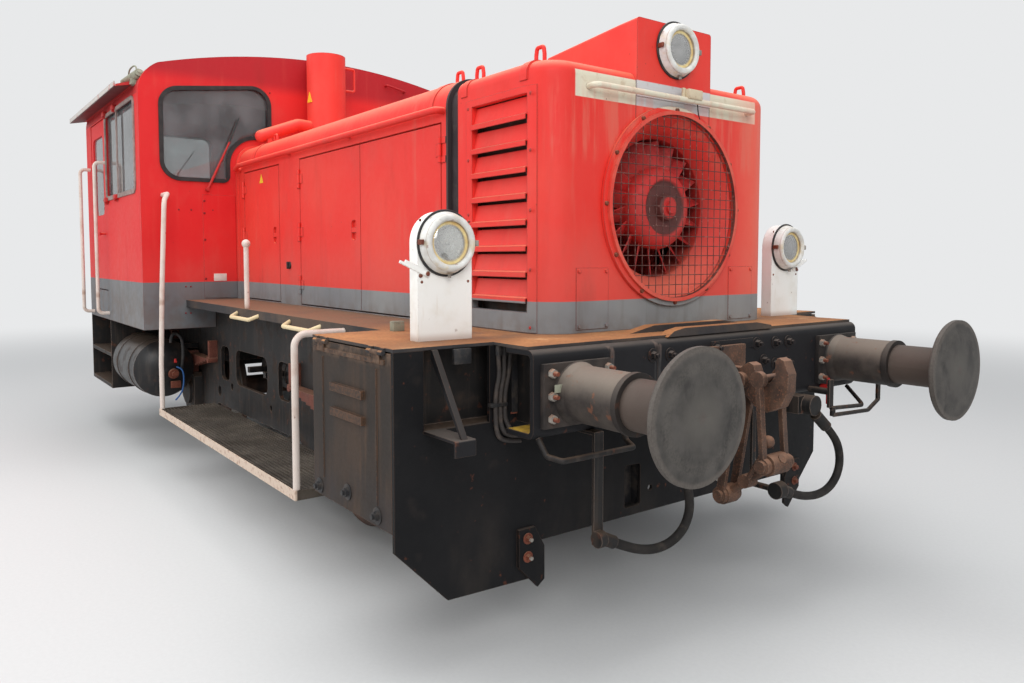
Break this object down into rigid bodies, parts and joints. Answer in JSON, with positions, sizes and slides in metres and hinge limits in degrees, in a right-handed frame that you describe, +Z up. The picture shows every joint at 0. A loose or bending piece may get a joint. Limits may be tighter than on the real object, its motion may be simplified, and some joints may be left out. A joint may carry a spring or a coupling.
{
  "type": "diesel locomotive",
  "caption": "Short two-axle diesel shunting locomotive with a rear cab, long hood, front fan, side buffers and screw coupling.",
  "frame": {"origin": "under the middle between the buffer faces, on the plane of the wheel flange tips", "axes": "+X along the vehicle towards the hood end, +Y to its left, +Z up"},
  "size_m": [7.83, 3.23, 3.2048],
  "materials": {
    "beam_grey": "faded black grey paint",
    "box_brown": "dark paint with brown dirt",
    "buffer_brown": "dirty grey brown",
    "buffer_grey": "worn dark steel",
    "cab_red": "deeper red",
    "core_grey": "dusty fins",
    "coupling_rust": "rust brown and grease",
    "cream_paint": "yellowed cream",
    "deck_rust": "rust brown walkway",
    "desk_grey": "grey green",
    "engine_grey": "oily grey",
    "fan_red": "red with soot",
    "floor_grey": "dark floor covering",
    "frame_black": "worn black paint",
    "gaiter_rubber": "dark rubber",
    "grating_steel": "galvanised, dirty",
    "guard_wire": "rusty wire",
    "hood_red": "faded red",
    "hose_rubber": "weathered rubber",
    "lamp_glass": "clear lens",
    "lamp_rim": "aged pale grey",
    "roof_red": "red roof",
    "seat_black": "black seat cover",
    "spring_steel": "rusty brown",
    "tank_black": "glossy black",
    "wheel_steel": "oily dark steel with bright treads",
    "white_paint": "white, chipped",
    "window_glass": "clear",
    "window_rubber": "black rubber"
  },
  "bodies": {
    "chassis": {"air_tanks": "tank_black", "aprons": "beam_grey", "axle_boxes": "frame_black", "brake_gear": "frame_black", "brake_hose_far": "hose_rubber", "brake_hose_near": "hose_rubber", "brake_pipes": "frame_black", "buffer_heads": "buffer_grey", "buffer_housings": "buffer_brown", "cab_floor": "floor_grey", "cab_front": "cab_red", "cab_glazing": "window_glass", "cab_rear": "cab_red", "cab_roof": "roof_red", "cab_sides": "cab_red", "cab_steps": "frame_black", "control_desk": "desk_grey", "deck": "deck_rust", "deck_edges": "deck_rust", "door_rails": "white_paint", "draw_hooks": "coupling_rust", "driver_seats": "seat_black", "engine_block": "engine_grey", "engine_hood": "hood_red", "exhaust": "hood_red", "fan_guard": "guard_wire", "fan_shroud": "hood_red", "frame_plates": "frame_black", "handrails": "white_paint", "headstocks": "beam_grey", "hood_gaiter": "gaiter_rubber", "lamp_glasses": "lamp_glass", "lamp_pillars": "white_paint", "lamps": "lamp_rim", "leaf_springs": "spring_steel", "platforms": "grating_steel", "radiator_cores": "core_grey", "radiator_hood": "hood_red", "radiator_louvres": "hood_red", "screw_couplings": "coupling_rust", "side_boxes": "frame_black", "transmission": "engine_grey", "uncoupling_rods": "frame_black", "walkway_handles": "cream_paint", "window_frames": "window_rubber"},
    "wheelset_front": {"wheelset_front": "wheel_steel"},
    "wheelset_rear": {"wheelset_rear": "wheel_steel"},
    "fan": {"fan_rotor": "fan_red"},
    "cab_door_near": {"cab_door_near": "cab_red", "door_glass_near": "window_glass"},
    "cab_door_far": {"cab_door_far": "cab_red", "door_glass_far": "window_glass"},
    "flap_near": {"side_box_flap_near": "box_brown"},
    "flap_far": {"side_box_flap_far": "box_brown"},
    "hood_door_near_front": {"hood_door_near_front": "hood_red"},
    "hood_door_near_middle": {"hood_door_near_middle": "hood_red"},
    "hood_door_near_rear": {"hood_door_near_rear": "hood_red"},
    "hood_door_far_front": {"hood_door_far_front": "hood_red"},
    "hood_door_far_middle": {"hood_door_far_middle": "hood_red"},
    "hood_door_far_rear": {"hood_door_far_rear": "hood_red"}
  },
  "joints": [
    {"name": "wheelset_front_roll", "type": "hinge", "parent": "chassis", "child": "wheelset_front", "pos_m": [1.4, 0, 0.455], "axis": [0, 1, 0], "continuous": true},
    {"name": "wheelset_rear_roll", "type": "hinge", "parent": "chassis", "child": "wheelset_rear", "pos_m": [-1.4, 0, 0.455], "axis": [0, 1, 0], "continuous": true},
    {"name": "fan_spin", "type": "hinge", "parent": "chassis", "child": "fan", "pos_m": [2.85, 0, 1.806], "axis": [1, 0, 0], "continuous": true},
    {"name": "cab_door_near_swing", "type": "hinge", "parent": "chassis", "child": "cab_door_near", "pos_m": [-2.769, -1.4357, 2], "axis": [0, 0, 1], "range_deg": [0, 88]},
    {"name": "cab_door_far_swing", "type": "hinge", "parent": "chassis", "child": "cab_door_far", "pos_m": [-2.769, 1.4357, 2], "axis": [0, 0, 1], "range_deg": [-88, 0]},
    {"name": "hood_door_near_front_swing", "type": "hinge", "parent": "chassis", "child": "hood_door_near_front", "pos_m": [2.192, -0.7743, 1.742], "axis": [0, 0, 1], "range_deg": [0, 110]},
    {"name": "hood_door_far_front_swing", "type": "hinge", "parent": "chassis", "child": "hood_door_far_front", "pos_m": [2.192, 0.7743, 1.742], "axis": [0, 0, 1], "range_deg": [-110, 0]},
    {"name": "hood_door_near_middle_swing", "type": "hinge", "parent": "chassis", "child": "hood_door_near_middle", "pos_m": [0.416, -0.7743, 1.742], "axis": [0, 0, 1], "range_deg": [-75, 0]},
    {"name": "hood_door_far_middle_swing", "type": "hinge", "parent": "chassis", "child": "hood_door_far_middle", "pos_m": [0.416, 0.7743, 1.742], "axis": [0, 0, 1], "range_deg": [0, 75]},
    {"name": "hood_door_near_rear_swing", "type": "hinge", "parent": "chassis", "child": "hood_door_near_rear", "pos_m": [-0.691, -0.7743, 1.742], "axis": [0, 0, 1], "range_deg": [-70, 0]},
    {"name": "hood_door_far_rear_swing", "type": "hinge", "parent": "chassis", "child": "hood_door_far_rear", "pos_m": [-0.691, 0.7743, 1.742], "axis": [0, 0, 1], "range_deg": [0, 70]},
    {"name": "flap_near_lift", "type": "hinge", "parent": "chassis", "child": "flap_near", "pos_m": [2.7, -1.5153, 1.23], "axis": [1, 0, 0], "range_deg": [-85, 0]},
    {"name": "flap_far_lift", "type": "hinge", "parent": "chassis", "child": "flap_far", "pos_m": [2.575, 1.5153, 1.23], "axis": [1, 0, 0], "range_deg": [0, 85]}
  ]
}
